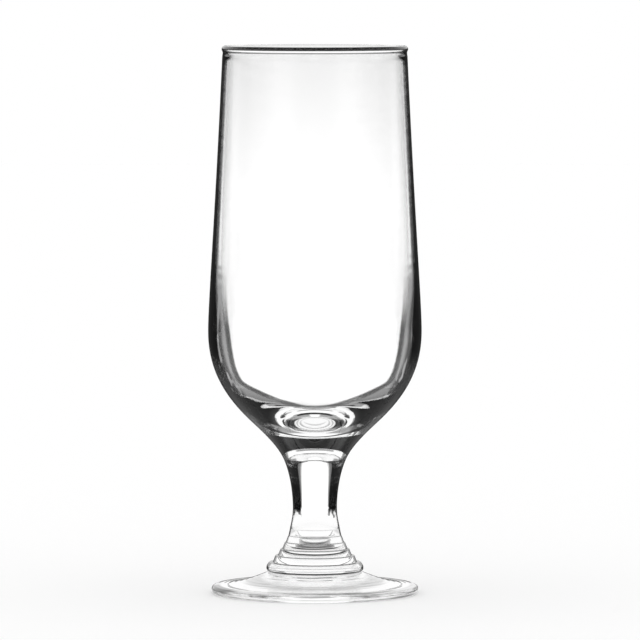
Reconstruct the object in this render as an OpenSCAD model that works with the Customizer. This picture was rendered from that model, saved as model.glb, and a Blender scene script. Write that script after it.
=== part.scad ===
// Stemmed pilsner glass in clear soda glass: a tall blown bowl, a short drawn stem,
// a collar of stepped rings and a pressed disc foot, each fused flat onto the next.
// Heights are stacked from the table up, so any one of them can change by itself.

/* [Bowl] */
// Height of the bowl from its weld on the stem to the top of the rim
bowl_h = 139.5; // [120:0.5:160]
// Outer diameter of the rounded bead at the rim
rim_d = 62.8; // [56:0.1:68]
// Thickness of the rounded bead
rim_bead = 2.3; // [1.4:0.1:2.6]
// How far the bead stands out from the wall under it
bead_step = 0.3; // [0.1:0.05:0.6]
// Thickness of the wall under the bead
rim_wall = 1.9; // [0.9:0.1:2.2]
// Outer diameter at the widest line
belly_d = 72.1; // [64:0.1:80]
// Height of the widest line above the weld
belly_h = 43.3; // [36:0.1:52]
// Outer diameter where the round shoulder turns into the hollow curve of the stem
turn_d = 42.3; // [34:0.1:48]
// Height of that turn above the weld
turn_h = 12.5; // [10:0.1:15]
// How much narrower the cavity's widest line is than the bowl's, on each side
belly_wall = 4.25; // [3.5:0.05:6]
// Height of the cavity's widest line above the bowl's
belly_step = 15.5; // [8:0.5:22]
// Height above the weld where the cavity's round bottom turns up into its side
cup_h = 28.5; // [27:0.1:34]
// Solid glass between the weld and the lowest point of the cavity
base_t = 12.8; // [10:0.1:16]

/* [Stem] */
// Height of the stem between its two welds
stem_h = 22.4; // [18:0.1:40]
// Diameter of the weld to the bowl
bowl_weld_d = 21.1; // [18:0.1:24]
// Diameter at the waist
waist_d = 14.9; // [11:0.1:15.4]
// Height of the waist above the weld to the collar
waist_h = 6; // [3:0.1:9]
// Diameter of the weld to the collar
collar_weld_d = 16.4; // [15.4:0.1:18]

/* [Collar] */
// Height of the collar between its two welds
collar_h = 15.7; // [14:0.1:24]
// Number of stepped rings
ring_count = 6; // [4:1:8]
// Outer diameter of the lowest and widest ring
collar_d = 32.8; // [28:0.1:38]
// Height of the lowest ring
low_ring_h = 3.2; // [2.4:0.1:3.8]
// Height of the top ring, which runs out into the stem
top_ring_h = 3.5; // [2:0.1:4.5]
// Width of the ledge on top of the lowest ring; the ledges above it grow narrower
ledge_w = 1.3; // [0.4:0.1:1.8]
// How far the lowest ring's lip hangs over its weld on the foot
lip_over = 0.9; // [0.3:0.1:1.5]

/* [Foot] */
// Height of the foot from the table to the weld with the collar
foot_h = 7.4; // [6:0.1:10]
// Outer diameter of the foot
foot_d = 70; // [60:0.5:80]
// Thickness of the foot's rounded edge
foot_edge = 2.9; // [2:0.1:3.6]
// Width of the flat ring that rests on the table
rest_w = 4; // [2.5:0.1:6]
// Depth of the hollow under the foot, at its centre
hollow_h = 2.4; // [1:0.1:3]

/* [Hidden] */
// Sideways step per unit of height, where two curves of the outline meet
weld_lean_share = 0.45;
turn_lean_share = 1.08;
rim_lean_share = -0.045;
cavity_rim_lean_share = -0.03;
cup_lean_share = 0.466;
lip_lean_share = -0.5;
collar_lean_share = -0.2;
// How long each curve keeps the direction of its two ends, as shares of its height
under_turn_shares = [0.33, 0.33];
over_turn_shares = [0.255, 0.45];
side_shares = [0.1, 0.57];
over_waist_shares = [0.245, 0.325];
under_waist_shares = [0.4, 0.4];
// The same for the cavity: a round bottom, its turn into the side, and the side up to the rim
cup_width_share = 0.855;
cup_floor_share = 0.364;
cup_rise_share = 0.447;
over_cup_shares = [0.242, 0.376];
cavity_side_shares = [0.3, 0.5];
// The same for the foot: its top leaves the collar steeply and runs out nearly flat
foot_crown_shares = [0.3, 0.45];
foot_fall_shares = [0.9, 0.04];
hollow_shares = [0.5, 0.3];
// The collar's core widens from stem to foot along a power curve, and its ledges along another
flare_power = 1.68;
flare_share = 1.07;
ledge_power = 2;
// The lowest ring is widest at this share of its height, and its lip is round there
lip_height_share = 0.4;
lip_under_shares = [0.6, 0.15];
lip_over_shares = [0.5, 0.3];
// Points along each curve, and facets round the axis
curve_steps = 24;
$fn = 96;

collar_z = foot_h;
stem_z = collar_z + collar_h;
bowl_z = stem_z + stem_h;
seat_r = collar_d / 2 - lip_over;
wall_r = rim_d / 2 - bead_step;
wall_top = bowl_h - rim_bead / 2;
clear_glass = [0.9, 0.95, 0.96, 0.45];

// A smooth curve that leaves p along the step dp and reaches q along the step dq
function curve(p, dp, q, dq) = [
    for (i = [0:curve_steps])
        let (t = i / curve_steps, u = 1 - t)
            u * u * u * p + 3 * u * u * t * (p + dp) + 3 * u * t * t * (q - dq) + t * t * t * q
];

// A curve that climbs from p to q and leans sideways by a share of its height at each end
function climb(p, lean_p, q, lean_q, shares) =
    let (rise = q[1] - p[1])
        curve(p, shares[0] * rise * [lean_p, 1], q, shares[1] * rise * [lean_q, 1]);

// The points of a list in the opposite order
function turned_round(points) = [for (i = [len(points) - 1:-1:0]) points[i]];

// A ring of round section: its centre line has radius r and lies at height z
module round_ring(r, z, thickness) {
    translate([0, 0, z])
    rotate_extrude()
        translate([r, 0])
            circle(d = thickness);
}

// Outer side of the bowl, from the weld up to the bead
function bowl_outside() =
    let (
        weld = [bowl_weld_d / 2, 0],
        turn = [turn_d / 2, turn_h],
        belly = [belly_d / 2, belly_h],
        top = [wall_r, wall_top]
    ) concat(
        climb(weld, weld_lean_share, turn, turn_lean_share, under_turn_shares),
        climb(turn, turn_lean_share, belly, 0, over_turn_shares),
        climb(belly, 0, top, rim_lean_share, side_shares)
    );

// Inner side of the bowl, from the lowest point of the cavity up to the bead
function bowl_inside() =
    let (
        floor = [0, base_t],
        widest = [belly_d / 2 - belly_wall, belly_h + belly_step],
        turn = [cup_width_share * widest[0], cup_h],
        top = [wall_r - rim_wall, wall_top],
        rise = turn[1] - floor[1]
    ) concat(
        curve(floor, [cup_floor_share * turn[0], 0], turn, cup_rise_share * rise * [cup_lean_share, 1]),
        climb(turn, cup_lean_share, widest, 0, over_cup_shares),
        climb(widest, 0, top, cavity_rim_lean_share, cavity_side_shares)
    );

module bowl() {
    color(clear_glass)
    translate([0, 0, bowl_z]) {
        rotate_extrude()
            polygon(concat([[0, 0]], bowl_outside(), turned_round(bowl_inside())));
        round_ring((rim_d - rim_bead) / 2, wall_top, rim_bead);
    }
}

module stem() {
    foot_weld = [collar_weld_d / 2, 0];
    waist = [waist_d / 2, waist_h];
    bowl_weld = [bowl_weld_d / 2, stem_h];
    color(clear_glass)
    translate([0, 0, stem_z])
    rotate_extrude()
        polygon(concat(
            [[0, 0]],
            climb(foot_weld, collar_lean_share, waist, 0, under_waist_shares),
            climb(waist, 0, bowl_weld, weld_lean_share, over_waist_shares),
            [[0, stem_h]]
        ));
}

// How much of the collar's height still lies above a height: 1 at the foot and 0 at the stem
function above(h) = 1 - h / collar_h;

// Radius of the core, and width of the ledge that a ring's top stands out from it
function core_r(h) =
    let (weld_r = collar_weld_d / 2)
        weld_r + flare_share * (collar_d / 2 - weld_r) * pow(above(h), flare_power);
function ledge(h) = ledge_w * pow(above(h) / above(low_ring_h), ledge_power);

// Height of a ring's top, counted from the lowest ring, which is 0
function ring_top(i) =
    let (middle_h = (collar_h - low_ring_h - top_ring_h) / (ring_count - 2))
        i == ring_count - 1 ? collar_h : low_ring_h + i * middle_h;

module collar() {
    seat = [seat_r, 0];
    lip = [collar_d / 2, lip_height_share * low_ring_h];
    low_top = [core_r(low_ring_h) + ledge(low_ring_h), low_ring_h];
    under = [lip_under_shares[0] * lip_over, lip_under_shares[1] * lip[1]];
    color(clear_glass)
    translate([0, 0, collar_z])
    rotate_extrude()
        polygon(concat(
            [[0, 0]],
            curve(seat, under, lip, [0, lip[1] / 2]),
            climb(lip, 0, low_top, lip_lean_share, lip_over_shares),
            [
                for (i = [1:ring_count - 1])
                    for (h = [ring_top(i - 1), ring_top(i)])
                        [core_r(h) + (h == ring_top(i) ? ledge(h) : 0), h]
            ],
            [[0, collar_h]]
        ));
}

module foot() {
    seat = [seat_r, foot_h];
    edge = [(foot_d - foot_edge) / 2, foot_edge / 2];
    edge_top = [edge[0], foot_edge];
    fall = foot_h - foot_edge;
    run = edge[0] - seat[0];
    hollow_r = edge[0] - rest_w;
    crown = curve(
        seat, [foot_crown_shares[0] * run, -foot_crown_shares[1] * fall],
        edge_top, [foot_fall_shares[0] * run / 2, -foot_fall_shares[1] * fall]
    );
    hollow = curve(
        [hollow_r, 0], [-hollow_shares[1] * hollow_r, hollow_h * hollow_shares[0]],
        [0, hollow_h], [-hollow_shares[1] * hollow_r, 0]
    );
    color(clear_glass) {
        rotate_extrude()
            polygon(concat([[0, foot_h]], crown, [[edge[0], 0]], hollow));
        round_ring(edge[0], edge[1], foot_edge);
    }
}

bowl();
stem();
collar();
foot();
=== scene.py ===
import math
import bpy
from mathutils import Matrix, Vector


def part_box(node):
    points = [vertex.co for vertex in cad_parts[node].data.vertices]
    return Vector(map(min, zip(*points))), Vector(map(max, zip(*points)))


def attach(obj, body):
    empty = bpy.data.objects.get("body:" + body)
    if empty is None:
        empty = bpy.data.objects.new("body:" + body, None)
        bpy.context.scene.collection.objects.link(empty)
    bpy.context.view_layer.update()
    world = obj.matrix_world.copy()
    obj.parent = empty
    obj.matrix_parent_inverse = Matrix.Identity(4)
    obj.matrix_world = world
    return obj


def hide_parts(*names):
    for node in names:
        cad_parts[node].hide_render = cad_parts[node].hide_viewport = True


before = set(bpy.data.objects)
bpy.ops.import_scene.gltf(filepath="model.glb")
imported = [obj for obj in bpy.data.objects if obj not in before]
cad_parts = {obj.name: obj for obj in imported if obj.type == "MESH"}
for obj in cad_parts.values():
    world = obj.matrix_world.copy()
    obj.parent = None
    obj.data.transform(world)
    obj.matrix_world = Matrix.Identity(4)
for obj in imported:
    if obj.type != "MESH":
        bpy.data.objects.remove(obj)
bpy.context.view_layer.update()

MM = 0.001

# Steps round the axis and along each kind of curve, and the angle above which an edge stays sharp

ROUND_STEPS = 160
CURVE_STEPS = 28
SIDE_STEPS = 60
LIP_STEPS = 14
BEAD_STEPS = 26
EDGE_STEPS = 4
SHARP_ANGLE = math.radians(50)
MERGE = 1e-7

# Sizes of the glass, in metres, as the solids have them

FOOT_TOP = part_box("foot")[1][2]
COLLAR_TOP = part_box("collar")[1][2]
STEM_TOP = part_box("stem")[1][2]
RIM_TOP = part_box("bowl")[1][2]
RIM_R = 31.4 * MM
RIM_BEAD_R = 1.15 * MM
BEAD_STEP = 0.3 * MM
RIM_WALL = 1.9 * MM
BEAD_BLEND = 2 * MM
BEAD_FOOT_ANGLE = -30
BEAD_FOOT_LEAN = 0.58
BELLY_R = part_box("bowl")[1][0]
BELLY_H = 43.3 * MM
BELLY_WALL = 4.25 * MM
BELLY_STEP = 15.5 * MM
TURN_R = 21.15 * MM
TURN_H = 12.5 * MM
CUP_H = 28.5 * MM
CUP_WIDTH_SHARE = 0.855
BASE_T = 12.8 * MM
BOWL_WELD_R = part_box("stem")[1][0]
WAIST_R = 7.45 * MM
WAIST_H = 6 * MM
COLLAR_WELD_R = 8.2 * MM
COLLAR_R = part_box("collar")[1][0]
COLLAR_H = COLLAR_TOP - FOOT_TOP
RING_COUNT = 6
LOW_RING_H = 3.2 * MM
TOP_RING_H = 3.5 * MM
LEDGE_W = 1.3 * MM
LIP_OVER = 0.9 * MM
LEDGE_ROUND = 0.16 * MM
FLARE_POWER = 1.68
FLARE_SHARE = 1.07
LEDGE_POWER = 2
FOOT_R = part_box("foot")[1][0]
FOOT_EDGE_R = 1.45 * MM
REST_W = 4 * MM
HOLLOW_H = 2.4 * MM
FLAT_HOLD = 0.06 * MM

# Sideways step per unit of height, where two curves of the outline meet

WELD_LEAN = 0.45
TURN_LEAN = 1.08
RIM_LEAN = -0.045
CAVITY_RIM_LEAN = -0.03
CUP_LEAN = 0.466
COLLAR_LEAN = -0.2
LIP_LEAN = -0.5

# How long each curve keeps the direction of its two ends, as shares of its height or width

UNDER_TURN_SHARES = (0.33, 0.33)
OVER_TURN_SHARES = (0.255, 0.45)
SIDE_SHARES = (0.1, 0.57)
BEAD_BLEND_SHARES = (0.4, 0.3)
CUP_FLOOR_SHARE = 0.364
CUP_RISE_SHARE = 0.447
OVER_CUP_SHARES = (0.242, 0.376)
CAVITY_SIDE_SHARES = (0.3, 0.5)
UNDER_WAIST_SHARES = (0.4, 0.4)
OVER_WAIST_SHARES = (0.245, 0.325)
LIP_HEIGHT_SHARE = 0.4
LIP_UNDER_SHARES = (0.6, 0.15)
LIP_OVER_SHARES = (0.5, 0.3)
FOOT_CROWN_SHARES = (0.3, 0.45)
FOOT_FALL_SHARES = (0.45, 0.04)
HOLLOW_SHARES = (0.3, 0.5)


def curve(start, away, end, towards, steps=CURVE_STEPS):
    """Points of a smooth curve that leaves start along away and reaches end along towards."""
    points = []
    for i in range(steps + 1):
        t = i / steps
        u = 1 - t
        first = Vector(start) + Vector(away)
        second = Vector(end) - Vector(towards)
        points.append(
            u**3 * Vector(start) + 3 * u * u * t * first + 3 * u * t * t * second + t**3 * Vector(end)
        )
    return points


def climb(start, lean_start, end, lean_end, shares, steps=CURVE_STEPS):
    """A curve from start up to end that leans sideways by a share of its height at each end."""
    rise = end[1] - start[1]
    away = Vector((lean_start, 1)) * shares[0] * rise
    towards = Vector((lean_end, 1)) * shares[1] * rise
    return curve(start, away, end, towards, steps)


def arc(centre, radius, first, last, steps=LIP_STEPS):
    """Points of an arc, with its angles in degrees from the outward direction."""
    points = []
    for i in range(steps + 1):
        angle = math.radians(first + (last - first) * i / steps)
        points.append(Vector((centre[0] + radius * math.cos(angle), centre[1] + radius * math.sin(angle))))
    return points


def spun(name, profile):
    """Draws a profile of radius and height by extruding one vertex, and spins it round the axis."""
    bpy.ops.object.select_all(action="DESELECT")
    start = profile[0]
    bpy.ops.mesh.primitive_plane_add(size=MM, location=(start[0], 0, start[1]))
    piece = bpy.context.object
    piece.name = name
    piece.data.name = name
    bpy.ops.object.transform_apply(location=True, rotation=True, scale=True)
    bpy.ops.object.mode_set(mode="EDIT")
    bpy.ops.mesh.select_all(action="SELECT")
    bpy.ops.mesh.merge(type="CENTER")
    here = start
    for point in profile[1:]:
        step = (point[0] - here[0], 0, point[1] - here[1])
        bpy.ops.mesh.extrude_region_move(TRANSFORM_OT_translate={"value": step})
        here = point
    bpy.ops.mesh.select_all(action="SELECT")
    bpy.ops.mesh.spin(steps=ROUND_STEPS, angle=math.tau, center=(0, 0, 0), axis=(0, 0, 1))
    bpy.ops.mesh.select_all(action="SELECT")
    bpy.ops.mesh.remove_doubles(threshold=MERGE)
    bpy.ops.mesh.normals_make_consistent(inside=False)
    bpy.ops.object.mode_set(mode="OBJECT")
    bpy.ops.object.shade_smooth_by_angle(angle=SHARP_ANGLE)
    return piece


def bowl_profile():
    """Weld, outer side, rim bead, inner side and the round bottom of the cavity."""
    weld = (BOWL_WELD_R, STEM_TOP)
    turn = (TURN_R, STEM_TOP + TURN_H)
    belly = (BELLY_R, STEM_TOP + BELLY_H)
    wall_top = RIM_TOP - RIM_BEAD_R
    top = (RIM_R - BEAD_STEP, wall_top)
    outside = (
        climb(weld, WELD_LEAN, turn, TURN_LEAN, UNDER_TURN_SHARES)
        + climb(turn, TURN_LEAN, belly, 0, OVER_TURN_SHARES, SIDE_STEPS)[1:]
        + climb(belly, 0, top, RIM_LEAN, SIDE_SHARES, SIDE_STEPS)[1:]
    )
    bead = (RIM_R - RIM_BEAD_R, wall_top)
    bead_round = arc(bead, RIM_BEAD_R, BEAD_FOOT_ANGLE, 180 - BEAD_FOOT_ANGLE, BEAD_STEPS)
    outside = [p for p in outside if p[1] < wall_top - BEAD_BLEND]
    neck = outside[-1]
    meet = bead_round[0]
    blend = climb(neck, RIM_LEAN, meet, BEAD_FOOT_LEAN, BEAD_BLEND_SHARES, LIP_STEPS)
    bottom = (0, STEM_TOP + BASE_T)
    widest = (BELLY_R - BELLY_WALL, STEM_TOP + BELLY_H + BELLY_STEP)
    cup = (CUP_WIDTH_SHARE * widest[0], STEM_TOP + CUP_H)
    inner_top = (RIM_R - BEAD_STEP - RIM_WALL, wall_top)
    cup_rise = CUP_RISE_SHARE * (CUP_H - BASE_T)
    inside = (
        curve(bottom, (CUP_FLOOR_SHARE * cup[0], 0), cup, (cup_rise * CUP_LEAN, cup_rise))
        + climb(cup, CUP_LEAN, widest, 0, OVER_CUP_SHARES, SIDE_STEPS)[1:]
        + climb(widest, 0, inner_top, CAVITY_RIM_LEAN, CAVITY_SIDE_SHARES, SIDE_STEPS)[1:]
    )
    inside = [p for p in inside if p[1] < wall_top - BEAD_BLEND]
    neck = inside[-1]
    meet = bead_round[-1]
    inner_blend = climb(neck, CAVITY_RIM_LEAN, meet, -BEAD_FOOT_LEAN, BEAD_BLEND_SHARES, LIP_STEPS)
    return (
        [Vector((0, STEM_TOP))]
        + outside
        + blend[1:]
        + bead_round[1:]
        + list(reversed(inner_blend))[1:]
        + list(reversed(inside))[1:]
    )


def stem_profile():
    """Weld to the collar, the waist, and the weld to the bowl."""
    low = (COLLAR_WELD_R, COLLAR_TOP)
    waist = (WAIST_R, COLLAR_TOP + WAIST_H)
    high = (BOWL_WELD_R, STEM_TOP)
    return (
        [Vector((0, COLLAR_TOP))]
        + climb(low, COLLAR_LEAN, waist, 0, UNDER_WAIST_SHARES)
        + climb(waist, 0, high, WELD_LEAN, OVER_WAIST_SHARES)[1:]
        + [Vector((0, STEM_TOP))]
    )


def above(height):
    """How much of the collar's height still lies above a height: 1 at the foot, 0 at the stem."""
    return 1 - height / COLLAR_H


def core_r(height):
    """Radius of the collar's core, which widens towards the foot along a power curve."""
    return COLLAR_WELD_R + FLARE_SHARE * (COLLAR_R - COLLAR_WELD_R) * above(height) ** FLARE_POWER


def ledge(height):
    """How far a ring's top stands out from the core."""
    return LEDGE_W * (above(height) / above(LOW_RING_H)) ** LEDGE_POWER


def ring_top(ring):
    """Height of a ring's top above the foot, counted from the lowest ring, which is 0."""
    if ring == RING_COUNT - 1:
        return COLLAR_H
    return LOW_RING_H + ring * (COLLAR_H - LOW_RING_H - TOP_RING_H) / (RING_COUNT - 2)


def rounded(corners):
    """The corners with each one between two others rounded off, as fire-polished edges are."""
    points = [corners[0]]
    for before, corner, after in zip(corners, corners[1:], corners[2:]):
        start = corner + (before - corner).normalized() * min(LEDGE_ROUND, (before - corner).length / 2)
        end = corner + (after - corner).normalized() * min(LEDGE_ROUND, (after - corner).length / 2)
        points += curve(start, (corner - start) * 2 / 3, end, (end - corner) * 2 / 3, EDGE_STEPS)
    return points + [corners[-1]]


def collar_profile():
    """Foot weld, the lowest ring's round lip, then the rings up to the stem, each with its ledge."""
    seat = (COLLAR_R - LIP_OVER, 0)
    lip = (COLLAR_R, LIP_HEIGHT_SHARE * LOW_RING_H)
    low_top = (core_r(LOW_RING_H) + ledge(LOW_RING_H), LOW_RING_H)
    under = (LIP_UNDER_SHARES[0] * LIP_OVER, LIP_UNDER_SHARES[1] * lip[1])
    side = curve(seat, under, lip, (0, lip[1] / 2), LIP_STEPS)
    side += climb(lip, 0, low_top, LIP_LEAN, LIP_OVER_SHARES, LIP_STEPS)[1:-1]
    corners = [side[-1], Vector(low_top)]
    for ring in range(1, RING_COUNT):
        low, high = ring_top(ring - 1), ring_top(ring)
        corners += [Vector((core_r(low), low)), Vector((core_r(high) + ledge(high), high))]
    corners[-1] = Vector((COLLAR_WELD_R, COLLAR_H))
    outline = [Vector((0, 0))] + side[:-1] + rounded(corners) + [Vector((0, COLLAR_H))]
    return [point + Vector((0, FOOT_TOP)) for point in outline]


def foot_profile():
    """Crown, rounded edge, the flat ring that rests on the table, held by two close loops, and hollow."""
    seat = (COLLAR_R - LIP_OVER, FOOT_TOP)
    edge = (FOOT_R - FOOT_EDGE_R, FOOT_EDGE_R)
    fall = FOOT_TOP - 2 * FOOT_EDGE_R
    run = edge[0] - seat[0]
    hollow_r = edge[0] - REST_W
    crown = curve(
        seat, (FOOT_CROWN_SHARES[0] * run, -FOOT_CROWN_SHARES[1] * fall),
        (edge[0], 2 * FOOT_EDGE_R), (FOOT_FALL_SHARES[0] * run, -FOOT_FALL_SHARES[1] * fall),
    )
    inwards = -HOLLOW_SHARES[0] * hollow_r
    hollow = curve((hollow_r, 0), (inwards, HOLLOW_SHARES[1] * HOLLOW_H), (0, HOLLOW_H), (inwards, 0))
    return (
        [Vector((0, FOOT_TOP))] + crown[:-1] + arc(edge, FOOT_EDGE_R, 90, -90)
        + [Vector((edge[0] - FLAT_HOLD, 0)), Vector((hollow_r + FLAT_HOLD, 0))] + hollow
    )


# How strongly the glass bends light, less under the foot, and the waves of its skin per metre

GLASS_BEND = 1.5
UNDER_BEND = 1.22
WAVE_SCALE = (90, 90, 330)
WAVE_DEPTH = 0.02 * MM
FOOT_WAVES = 0.5
RIPPLE_SCALE = 160
RIPPLE_BEND = 1.5
RIPPLE_DETAIL = 0.5
FOOT_RIPPLES = 3
UNDER_RIPPLES = 0.5
NOISE_MIDDLE = 0.5

# Painted shade of the dark edge towards the silhouette: how far the skin turns away at each stop, and its
# two shades

EDGE_PLACES = (0.645, 0.69, 0.725, 0.76)
EDGE_SHADES = (0.1, 0.006)
THICK_EDGE_SHADES = (0.006, 0.001)

# The painted dark edge is wider along the thick lower bowl, and fine upright painted streaks break it

THICK_TOP_Z = 100 * MM
THICK_FADE = 12 * MM
THICK_WIDENING = 0.16
BAND_STREAK_SCALE = (520, 520, 14)
BAND_STREAK_LEVEL = 0.57
BAND_STREAK_FADE = 0.04
BAND_STREAK_SHARE = 0.8

# Painted shade: dark crown and groove of the rim bead, below the rim's top, and grey growing up the upper
# wall

CROWN_DROP = 1.3 * MM
GROOVE_DROP = 2.1 * MM
GROOVE_HALF = 0.25 * MM
GROOVE_SHADE = 0.9
BEAD_DARK = 0.0005
LINE_FADE = 0.1 * MM
RIM_GREY_LOW_Z = 125 * MM
RIM_GREY_SHADE = 0.74

# Painted shade: dark sides of the drawn stem, which end in streaks above the collar

STREAK_SCALE = (900, 900, 500)
STREAK_LENGTH = 14 * MM
STREAK_END_Z = 27.5 * MM
STREAK_FADE = 0.4 * MM
STREAK_FACING = 0.19
STREAK_FACING_FADE = 0.03
STREAK_DARK = 0.03

# Painted shade: lines on the collar's rings and under its lip, in the foot's edge and round the hollow under
# it

RING_LINE_HALF = 0.13 * MM
RING_LINE_SHADE = 0.85
LIP_SHADE_H = 0.7 * MM
PAINTED_DARK = 0.002
EDGE_W = 3 * MM
EDGE_FADE = 0.75 * MM
EDGE_FACING = 0.45
EDGE_FACING_FADE = 0.12
EDGE_STREAK_SCALE = (45, 45, 1100)
EDGE_STREAK_FADE = 0.06
EDGE_STREAK_LOW = 0.5
EDGE_STREAK_HIGH = 0.97
HOLLOW_LINE_HALF = 0.5 * MM
HOLLOW_LINE_FADE = HOLLOW_LINE_HALF / 3


class Wiring:
    """Adds shader nodes to one tree and links them up."""

    def __init__(self, tree):
        self.nodes = tree.nodes
        self.links = tree.links

    def math(self, operation, a, b=None):
        node = self.nodes.new("ShaderNodeMath")
        node.operation = operation
        for socket, value in zip(node.inputs, (a, b)):
            if isinstance(value, (int, float)):
                socket.default_value = value
            elif value is not None:
                self.links.new(value, socket)
        return node.outputs[0]

    def step(self, value, middle, fade):
        """0 below the middle and 1 above it, with a soft edge."""
        node = self.nodes.new("ShaderNodeMapRange")
        node.interpolation_type = "SMOOTHSTEP"
        self.links.new(value, node.inputs["Value"])
        node.inputs["From Min"].default_value = middle - fade
        node.inputs["From Max"].default_value = middle + fade
        return node.outputs[0]

    def blend(self, share, a, b):
        """The value a where the share is 0, and b where it is 1."""
        node = self.nodes.new("ShaderNodeMix")
        node.data_type = "FLOAT"
        for socket, value in zip((node.inputs[0], node.inputs[2], node.inputs[3]), (share, a, b)):
            if isinstance(value, (int, float)):
                socket.default_value = value
            else:
                self.links.new(value, socket)
        return node.outputs[0]

    def tint(self, way, share, a, b):
        """Mixes the colour b into a in one of the Mix node's ways."""
        node = self.nodes.new("ShaderNodeMix")
        node.data_type = "RGBA"
        node.blend_type = way
        for socket, value in zip((node.inputs["Factor"], node.inputs["A"], node.inputs["B"]), (share, a, b)):
            if isinstance(value, (int, float, tuple)):
                socket.default_value = value
            else:
                self.links.new(value, socket)
        return node.outputs["Result"]

    def object_coords(self):
        return self.nodes.new("ShaderNodeTexCoord").outputs["Object"]

    def height(self):
        """Height above the table."""
        split = self.nodes.new("ShaderNodeSeparateXYZ")
        self.links.new(self.object_coords(), split.inputs[0])
        return split.outputs["Z"]

    def radius(self):
        """Distance from the glass's own axis."""
        level = self.nodes.new("ShaderNodeVectorMath")
        level.operation = "MULTIPLY"
        level.inputs[1].default_value = (1, 1, 0)
        self.links.new(self.object_coords(), level.inputs[0])
        length = self.nodes.new("ShaderNodeVectorMath")
        length.operation = "LENGTH"
        self.links.new(level.outputs[0], length.inputs[0])
        return length.outputs["Value"]

    def facing(self):
        """0 where the skin faces the eye, and 1 where it is seen edge on."""
        node = self.nodes.new("ShaderNodeLayerWeight")
        node.inputs["Blend"].default_value = 0.5
        return node.outputs["Facing"]


def stretched_noise(wire, scale):
    """Soft noise, stretched by its three scales in waves per metre."""
    squash = wire.nodes.new("ShaderNodeMapping")
    squash.inputs["Scale"].default_value = scale
    wire.links.new(wire.object_coords(), squash.inputs["Vector"])
    noise = wire.nodes.new("ShaderNodeTexNoise")
    noise.inputs["Scale"].default_value = 1
    noise.inputs["Detail"].default_value = 1
    wire.links.new(squash.outputs["Vector"], noise.inputs["Vector"])
    return noise.outputs["Fac"]


def chill_waves():
    """Node group: the faint waves that the mould leaves on the skin, as a normal."""
    group = bpy.data.node_groups.new("chill_waves", "ShaderNodeTree")
    for name in ("Level Waves", "Foot Ripples"):
        group.interface.new_socket(name, in_out="INPUT", socket_type="NodeSocketFloat")
    group.interface.new_socket("Normal", in_out="OUTPUT", socket_type="NodeSocketVector")
    wire = Wiring(group)
    inputs = wire.nodes.new("NodeGroupInput")
    outputs = wire.nodes.new("NodeGroupOutput")
    rings = wire.nodes.new("ShaderNodeTexWave")
    rings.wave_type = "RINGS"
    rings.rings_direction = "Z"
    rings.inputs["Scale"].default_value = RIPPLE_SCALE
    rings.inputs["Distortion"].default_value = RIPPLE_BEND
    rings.inputs["Detail Scale"].default_value = RIPPLE_DETAIL
    wire.links.new(wire.object_coords(), rings.inputs["Vector"])
    waves = wire.math("MULTIPLY", stretched_noise(wire, WAVE_SCALE), inputs.outputs["Level Waves"])
    ripples = wire.math("MULTIPLY", rings.outputs["Fac"], inputs.outputs["Foot Ripples"])
    bump = wire.nodes.new("ShaderNodeBump")
    bump.inputs["Distance"].default_value = WAVE_DEPTH
    wire.links.new(wire.math("ADD", waves, ripples), bump.inputs["Height"])
    wire.links.new(bump.outputs["Normal"], outputs.inputs["Normal"])
    return group


def edge_shades(wire, facing, grey, dark):
    """Paints shade into the skin towards the silhouette, where the eye looks along the wall."""
    ramp = wire.nodes.new("ShaderNodeValToRGB")
    wire.links.new(facing, ramp.inputs["Fac"])
    stops = ramp.color_ramp.elements
    stops[0].position, stops[1].position = EDGE_PLACES[:2]
    for place in EDGE_PLACES[2:]:
        stops.new(place)
    for stop, shade in zip(stops, (1, grey, grey, dark)):
        stop.color = (shade, shade, shade, 1)
    return ramp.outputs["Color"]


def skin_edge(wire):
    """Painted dark edge of the stem and the collar."""
    return edge_shades(wire, wire.facing(), *EDGE_SHADES)


def bowl_edge(wire):
    """Painted dark edge of the bowl, wider and streaky along its thick lower part."""
    low = wire.math("SUBTRACT", 1, wire.step(wire.height(), THICK_TOP_Z, THICK_FADE))
    streaks = wire.step(stretched_noise(wire, BAND_STREAK_SCALE), BAND_STREAK_LEVEL, BAND_STREAK_FADE)
    full = wire.math("SUBTRACT", 1, wire.math("MULTIPLY", streaks, BAND_STREAK_SHARE))
    widening = wire.math("MULTIPLY", full, wire.math("MULTIPLY", low, THICK_WIDENING))
    return edge_shades(wire, wire.math("ADD", wire.facing(), widening), *EDGE_SHADES)


def inside_edge(wire):
    """Painted shade: the cavity's edge is dark in the thick lower part of the bowl only."""
    edge = edge_shades(wire, wire.facing(), *THICK_EDGE_SHADES)
    thin = wire.step(wire.height(), THICK_TOP_Z, THICK_FADE)
    return wire.tint("MIX", thin, edge, (1, 1, 1, 1))


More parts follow.
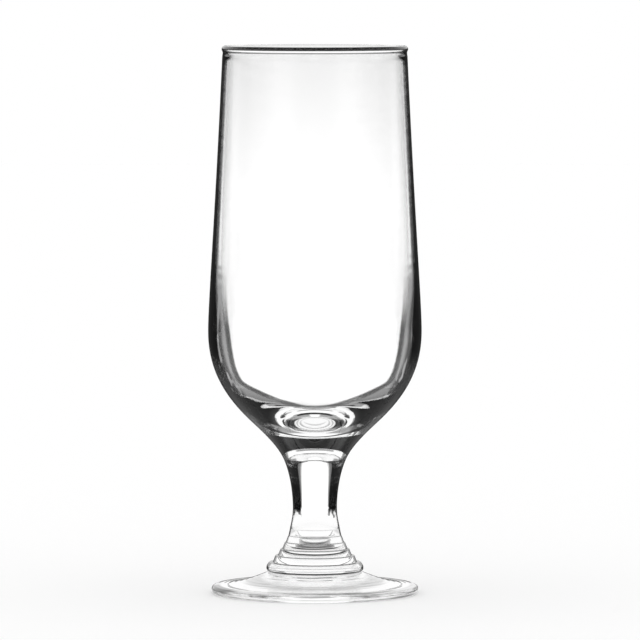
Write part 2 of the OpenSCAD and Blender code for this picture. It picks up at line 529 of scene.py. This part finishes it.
def bead_shades(wire):
    """Painted shade: dark crown of the bead and groove under it, where light enters, and grey up the wall.
    """
    height = wire.height()
    outside = wire.step(wire.radius(), RIM_R - RIM_BEAD_R, LINE_FADE)
    crown = wire.math("MULTIPLY", wire.step(height, RIM_TOP - CROWN_DROP, LINE_FADE), outside)
    groove_low = wire.step(height, RIM_TOP - GROOVE_DROP - GROOVE_HALF, LINE_FADE)
    groove_top = wire.step(height, RIM_TOP - GROOVE_DROP + GROOVE_HALF, LINE_FADE)
    groove = wire.math("MULTIPLY", wire.math("SUBTRACT", groove_low, groove_top), GROOVE_SHADE)
    geometry = wire.nodes.new("ShaderNodeNewGeometry")
    entering = wire.math("SUBTRACT", 1, geometry.outputs["Backfacing"])
    marks = wire.math("MULTIPLY", wire.math("MAXIMUM", crown, groove), entering)
    # Painted grey shade, growing from its low height up to the rim's top
    rim_grey = wire.nodes.new("ShaderNodeMapRange")
    wire.links.new(height, rim_grey.inputs["Value"])
    rim_grey.inputs["From Min"].default_value = RIM_GREY_LOW_Z
    rim_grey.inputs["From Max"].default_value = RIM_TOP
    rim_grey.inputs["To Min"].default_value = 1
    rim_grey.inputs["To Max"].default_value = RIM_GREY_SHADE
    return wire.blend(marks, rim_grey.outputs[0], BEAD_DARK)


def drawn_shades(wire):
    """Painted shade: the drawn stem is dark along both sides, down to streaky ends above the collar."""
    ragged = wire.math("SUBTRACT", stretched_noise(wire, STREAK_SCALE), NOISE_MIDDLE)
    height = wire.math("ADD", wire.height(), wire.math("MULTIPLY", ragged, STREAK_LENGTH))
    above_end = wire.step(height, STREAK_END_Z, STREAK_FADE)
    beside = wire.step(wire.facing(), STREAK_FACING, STREAK_FACING_FADE)
    return wire.blend(wire.math("MULTIPLY", above_end, beside), 1, STREAK_DARK)


def ring_shades(wire):
    """Painted shade: fine dark lines at the tops of the rings, and a dark line under the lip where the
    collar sits on the foot.
    """
    height = wire.height()
    first_line = FOOT_TOP + LOW_RING_H
    last_line = FOOT_TOP + ring_top(RING_COUNT - 2)
    half_pitch = (ring_top(1) - ring_top(0)) / 2
    off_line = wire.math("PINGPONG", wire.math("SUBTRACT", height, first_line), half_pitch)
    lines = wire.math("SUBTRACT", 1, wire.step(off_line, RING_LINE_HALF, RING_LINE_HALF))
    over_first = wire.step(height, first_line - half_pitch, LINE_FADE)
    over_last = wire.step(height, last_line + half_pitch, LINE_FADE)
    among_rings = wire.math("MULTIPLY", over_first, wire.math("SUBTRACT", 1, over_last))
    lines = wire.math("MULTIPLY", wire.math("MULTIPLY", lines, among_rings), RING_LINE_SHADE)
    # Painted shade under the lowest ring's lip, where the collar sits on the foot
    lip_shade = wire.math("SUBTRACT", 1, wire.step(height, FOOT_TOP + LIP_SHADE_H, LINE_FADE))
    return wire.blend(wire.math("MAXIMUM", lines, lip_shade), 1, PAINTED_DARK)


def foot_shades(wire):
    """Painted shade: dark streaks in the foot's rounded edge, seen where it turns away to the left and
    right.
    """
    near_edge = wire.step(wire.radius(), FOOT_R - EDGE_W, EDGE_FADE)
    turned = wire.step(wire.facing(), EDGE_FACING, EDGE_FACING_FADE)
    streaks = wire.step(stretched_noise(wire, EDGE_STREAK_SCALE), NOISE_MIDDLE, EDGE_STREAK_FADE)
    dark = wire.blend(streaks, EDGE_STREAK_LOW, EDGE_STREAK_HIGH)
    dark = wire.math("MULTIPLY", dark, wire.math("MULTIPLY", near_edge, turned))
    return wire.blend(dark, 1, PAINTED_DARK)


def under_shades(wire):
    """Painted shade: under the foot, the line where the hollow begins is dark."""
    line_r = FOOT_R - FOOT_EDGE_R - REST_W - HOLLOW_LINE_HALF
    off_line = wire.math("ABSOLUTE", wire.math("SUBTRACT", wire.radius(), line_r))
    return wire.blend(wire.step(off_line, HOLLOW_LINE_HALF, HOLLOW_LINE_FADE), PAINTED_DARK, 1)


def glass_material(name, shades, waves=1, ripples=0, bend=GLASS_BEND):
    """Clear glass, smooth and colourless, with the waves of its skin and the shade painted into its colour.
    """
    material = bpy.data.materials.new(name)
    material.use_nodes = True
    wire = Wiring(material.node_tree)
    shader = wire.nodes["Principled BSDF"]
    shader.inputs["Transmission Weight"].default_value = 1
    shader.inputs["Roughness"].default_value = 0
    shader.inputs["IOR"].default_value = bend
    skin = wire.nodes.new("ShaderNodeGroup")
    skin.node_tree = bpy.data.node_groups.get("chill_waves") or chill_waves()
    skin.inputs["Level Waves"].default_value = waves
    skin.inputs["Foot Ripples"].default_value = ripples
    wire.links.new(skin.outputs["Normal"], shader.inputs["Normal"])
    colour, *others = [shade(wire) for shade in shades]
    for other in others:
        colour = wire.tint("MULTIPLY", 1, colour, other)
    wire.links.new(colour, shader.inputs["Base Color"])
    return material


def weld_material():
    """Nothing shows at a weld, because fused glass has no surface there."""
    material = bpy.data.materials.new("weld_clear")
    material.use_nodes = True
    shader = material.node_tree.nodes["Principled BSDF"]
    shader.inputs["Alpha"].default_value = 0
    return material


# Places of a piece's materials: its skin, its welds, and its inner or under side

SKIN, WELD, OTHER_SIDE = range(3)
FLAT = 0.99
UNDER_TILT = -0.8


def on_weld(face, welds):
    """True for the flat faces where two pieces are fused."""
    return abs(face.normal.z) > FLAT and any(abs(face.center.z - weld) < MERGE for weld in welds)


def in_cavity(face):
    """True for faces that look at the axis."""
    return face.normal.x * face.center.x + face.normal.y * face.center.y < 0


def under_foot(face):
    """True for faces that look down."""
    return face.normal.z < UNDER_TILT


def fused_piece(node, profile, welds, materials, other_side=None):
    """One piece of the glass, with its skin, its invisible welds and the material of its other side."""
    piece = spun(node + "_glass", profile)
    for material in materials:
        piece.data.materials.append(material)
    for face in piece.data.polygons:
        if on_weld(face, welds):
            face.material_index = WELD
        elif other_side and other_side(face):
            face.material_index = OTHER_SIDE
        else:
            face.material_index = SKIN
    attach(piece, "root")
    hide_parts(node)


weld_clear = weld_material()
bowl_clear = glass_material("bowl_clear", (bowl_edge, bead_shades))
bowl_inside_clear = glass_material("bowl_inside_clear", (inside_edge,))
stem_clear = glass_material("stem_clear", (skin_edge, drawn_shades))
collar_clear = glass_material("collar_clear", (skin_edge, ring_shades))
foot_clear = glass_material("foot_clear", (foot_shades,), FOOT_WAVES, FOOT_RIPPLES)
foot_under_clear = glass_material("foot_under_clear", (under_shades,), FOOT_WAVES, UNDER_RIPPLES, UNDER_BEND)

fused_piece("bowl", bowl_profile(), [STEM_TOP], (bowl_clear, weld_clear, bowl_inside_clear), in_cavity)
fused_piece("stem", stem_profile(), [STEM_TOP, COLLAR_TOP], (stem_clear, weld_clear))
fused_piece("collar", collar_profile(), [COLLAR_TOP, FOOT_TOP], (collar_clear, weld_clear))
fused_piece("foot", foot_profile(), [FOOT_TOP], (foot_clear, weld_clear, foot_under_clear), under_foot)

# Studio, the same from four sides: a white card before each side and dark card in the corners

CARD_HALF_WIDTH = math.radians(28)
CARD_EDGE = math.radians(1.5)
CARD_TOP = math.radians(32)
CARD_FADE = math.radians(2)
CARD_LIGHT = 1.25
SLOT_HALF_WIDTH = math.radians(11)
SLOT_TOP = math.radians(38.5)
TABLE_LINE = math.radians(-10)
TABLE_FADE = math.radians(4)
TABLE_LIGHT = 1.0
DARK_CARD_LIGHT = 0.01
WALL_LIGHT = 0.12
CEILING_LINE = math.radians(58)
CEILING_FADE = math.radians(4)
CEILING_LIGHT = 0.95

# Light that crosses the hollow bowl: white, with a greyer band over the cards

BOWL_LIGHT = 1.25
BOWL_BAND_LIGHT = 0.55
BOWL_BAND = math.radians(21)
BOWL_BAND_HALF = math.radians(7)

# Light that is mirrored inside the glass: lines are angles above level, sides are angles from a card

INNER_DARK = 0.02
INNER_GREY = 0.35
INNER_CORNER = 0.4
INNER_LIGHT = 1.1
INNER_SIDE = math.radians(27)
INNER_WALL_SIDE = math.radians(20)
INNER_TABLE_LINE = math.radians(-18)
INNER_TABLE_SIDE = math.radians(8)
INNER_LEVEL_LINE = math.radians(-2)
INNER_STREAK_LINE = math.radians(-7)
INNER_STREAK_SIDE = math.radians(33)
INNER_UPPER_LINE = math.radians(20)
INNER_UPPER_SIDE = math.radians(22)
INNER_CEILING = math.radians(46)
INNER_FADE = math.radians(4)

# Light that the outside of the glass mirrors

MIRROR_LEVEL = math.radians(3)
MIRROR_SHEET = 1.0
MIRROR_TOP = math.radians(30)
MIRROR_LOW = math.radians(-16)
MIRROR_EDGE = math.radians(1)
MIRROR_FADE = math.radians(8)
MIRROR_DARK = 0.05
MIRROR_LIGHT = 0.3

# Light through solid glass passes at most this many skins, and light through both walls passes more

SOLID_SKINS = 3


def solid_light(wire, side, rise):
    """Light that went straight through solid glass: the stem, the base and the foot."""
    low = wire.blend(wire.step(side, CARD_HALF_WIDTH, CARD_EDGE), CARD_LIGHT, DARK_CARD_LIGHT)
    high = wire.blend(wire.step(rise, CEILING_LINE, CEILING_FADE), WALL_LIGHT, CEILING_LIGHT)
    over_card = wire.step(rise, CARD_TOP, CARD_FADE)
    around = wire.blend(over_card, low, high)
    beside_slot = wire.step(side, SLOT_HALF_WIDTH, CARD_EDGE)
    over_slot = wire.step(rise, SLOT_TOP, CARD_EDGE)
    outside_slot = wire.math("MAXIMUM", beside_slot, over_slot)
    in_slot = wire.math("MULTIPLY", over_card, wire.math("SUBTRACT", 1, outside_slot))
    upper = wire.blend(in_slot, around, CARD_LIGHT)
    return wire.blend(wire.step(rise, TABLE_LINE, TABLE_FADE), TABLE_LIGHT, upper)


def bowl_light(wire, rise):
    """Light that crossed the hollow bowl through both of its walls."""
    from_band = wire.math("ABSOLUTE", wire.math("SUBTRACT", rise, BOWL_BAND))
    return wire.blend(wire.step(from_band, BOWL_BAND_HALF, CARD_FADE), BOWL_BAND_LIGHT, BOWL_LIGHT)


def inner_light(wire, side, rise):
    """Light that was mirrored inside the glass before it left."""
    table = wire.blend(wire.step(side, INNER_TABLE_SIDE, CARD_FADE), INNER_LIGHT, INNER_GREY)
    base = wire.blend(wire.step(side, INNER_SIDE, CARD_FADE), INNER_DARK, INNER_CORNER)
    wall = wire.blend(wire.step(side, INNER_WALL_SIDE, CARD_FADE), INNER_DARK, INNER_CORNER)
    wall = wire.blend(wire.step(side, INNER_STREAK_SIDE, CARD_EDGE), wall, INNER_LIGHT)
    below = wire.blend(wire.step(rise, INNER_STREAK_LINE, CARD_EDGE), base, wall)
    below = wire.blend(wire.step(rise, INNER_TABLE_LINE, CARD_FADE), table, below)
    upper = wire.blend(wire.step(side, INNER_UPPER_SIDE, CARD_FADE), INNER_GREY, INNER_LIGHT)
    upper = wire.blend(wire.step(rise, INNER_UPPER_LINE, INNER_FADE), INNER_LIGHT, upper)
    upper = wire.blend(wire.step(rise, INNER_CEILING, INNER_FADE), upper, INNER_LIGHT)
    return wire.blend(wire.step(rise, INNER_LEVEL_LINE, CARD_EDGE), below, upper)


def mirrored_light(wire, rise):
    """Light that the outside of the glass mirrors: white just above the table, dark below it."""
    low = wire.blend(wire.step(rise, MIRROR_LOW, MIRROR_FADE), MIRROR_LIGHT, MIRROR_DARK)
    high = wire.blend(wire.step(rise, MIRROR_TOP, MIRROR_FADE), MIRROR_SHEET, MIRROR_LIGHT)
    return wire.blend(wire.step(rise, MIRROR_LEVEL, MIRROR_EDGE), low, high)


def make_world():
    """The studio's light, by how it reaches the eye: straight, mirrored or through the glass."""
    world = bpy.data.worlds.new("studio")
    bpy.context.scene.world = world
    world.use_nodes = True
    wire = Wiring(world.node_tree)
    background = wire.nodes["Background"]
    background.inputs["Color"].default_value = (1, 1, 1, 1)
    coords = wire.nodes.new("ShaderNodeTexCoord")
    split = wire.nodes.new("ShaderNodeSeparateXYZ")
    wire.links.new(coords.outputs["Generated"], split.inputs[0])
    x, y, z = split.outputs
    along = wire.math("ABSOLUTE", x)
    across = wire.math("ABSOLUTE", y)
    side = wire.math("ARCTAN2", wire.math("MINIMUM", along, across), wire.math("MAXIMUM", along, across))
    rise = wire.math("ARCSINE", z)
    path = wire.nodes.new("ShaderNodeLightPath")
    crossed = wire.math("GREATER_THAN", path.outputs["Transmission Depth"], SOLID_SKINS)
    mirrored_inside = wire.math("GREATER_THAN", path.outputs["Glossy Depth"], 0)
    straight = wire.blend(crossed, solid_light(wire, side, rise), bowl_light(wire, rise))
    through = wire.blend(mirrored_inside, straight, inner_light(wire, side, rise))
    seen = wire.blend(path.outputs["Is Glossy Ray"], 1, mirrored_light(wire, rise))
    strength = wire.blend(path.outputs["Is Transmission Ray"], seen, through)
    wire.links.new(strength, background.inputs["Strength"])


make_world()

# Floor, and the white sheet with a painted shadow ring that only the glass shows under its foot

FLOOR_W = 8
FLOOR_GREY = (0.8, 0.8, 0.8, 1)
FLOOR_LIFT = 0.2
SHEET_R = 48 * MM
SHEET_FADE = 8 * MM
SHEET_LIGHT = 1.0
SHADE_R = 19 * MM
SHADE_HALF = 3.5 * MM
SHADE_FADE = 1.5 * MM
SHADE_LIGHT = 0.62


def mixed_shader(wire, share, first, second):
    """The first shader where the share is 0, and the second where it is 1."""
    mix = wire.nodes.new("ShaderNodeMixShader")
    for socket, value in zip(mix.inputs, (share, first, second)):
        wire.links.new(value, socket)
    return mix.outputs[0]


def floor_material():
    """White and matt to the eye, and the sheet's light with its painted shadow ring where it is seen in the
    glass.
    """
    material = bpy.data.materials.new("floor_white")
    material.use_nodes = True
    wire = Wiring(material.node_tree)
    path = wire.nodes.new("ShaderNodeLightPath")
    shader = wire.nodes["Principled BSDF"]
    shader.inputs["Base Color"].default_value = FLOOR_GREY
    shader.inputs["Roughness"].default_value = 1
    shader.inputs["Specular IOR Level"].default_value = 0
    shader.inputs["Emission Color"].default_value = (1, 1, 1, 1)
    lift = wire.math("MULTIPLY", path.outputs["Is Camera Ray"], FLOOR_LIFT)
    wire.links.new(lift, shader.inputs["Emission Strength"])
    radius = wire.radius()
    # Painted shadow: a grey ring on the sheet round the axis, under the collar
    off_shade = wire.math("ABSOLUTE", wire.math("SUBTRACT", radius, SHADE_R))
    light = wire.blend(wire.step(off_shade, SHADE_HALF, SHADE_FADE), SHADE_LIGHT, SHEET_LIGHT)
    sheet = wire.nodes.new("ShaderNodeEmission")
    wire.links.new(light, sheet.inputs["Strength"])
    clear = wire.nodes.new("ShaderNodeBsdfTransparent")
    beyond = wire.step(radius, SHEET_R, SHEET_FADE)
    in_glass = mixed_shader(wire, beyond, sheet.outputs[0], clear.outputs[0])
    by_glass = wire.math("MAXIMUM", path.outputs["Is Glossy Ray"], path.outputs["Is Transmission Ray"])
    seen = mixed_shader(wire, by_glass, shader.outputs[0], in_glass)
    wire.links.new(seen, wire.nodes["Material Output"].inputs[0])
    return material


bpy.ops.mesh.primitive_plane_add(size=FLOOR_W, location=(0, 0, 0))
floor = bpy.context.object
floor.name = "floor"
floor.data.materials.append(floor_material())

# Camera: the glass stands a few pixels left of the photograph's middle

FRAME_W = 216.1 * MM
FRAME_PIXELS = 640
ASIDE_PIXELS = 5.1
CAMERA_AWAY = 2.2
CAMERA_HEIGHT = 0.225
AIM_HEIGHT = 92.5 * MM
LENS = 367.4

aside = ASIDE_PIXELS * FRAME_W / FRAME_PIXELS
camera_data = bpy.data.cameras.new("camera")
camera_data.lens = LENS
camera = bpy.data.objects.new("camera", camera_data)
bpy.context.collection.objects.link(camera)
camera.location = (aside, -CAMERA_AWAY, CAMERA_HEIGHT)
aim = Vector((aside, 0, AIM_HEIGHT))
camera.rotation_euler = (aim - camera.location).to_track_quat("-Z", "Y").to_euler()
bpy.context.scene.camera = camera
bpy.context.scene.view_settings.view_transform = "Standard"
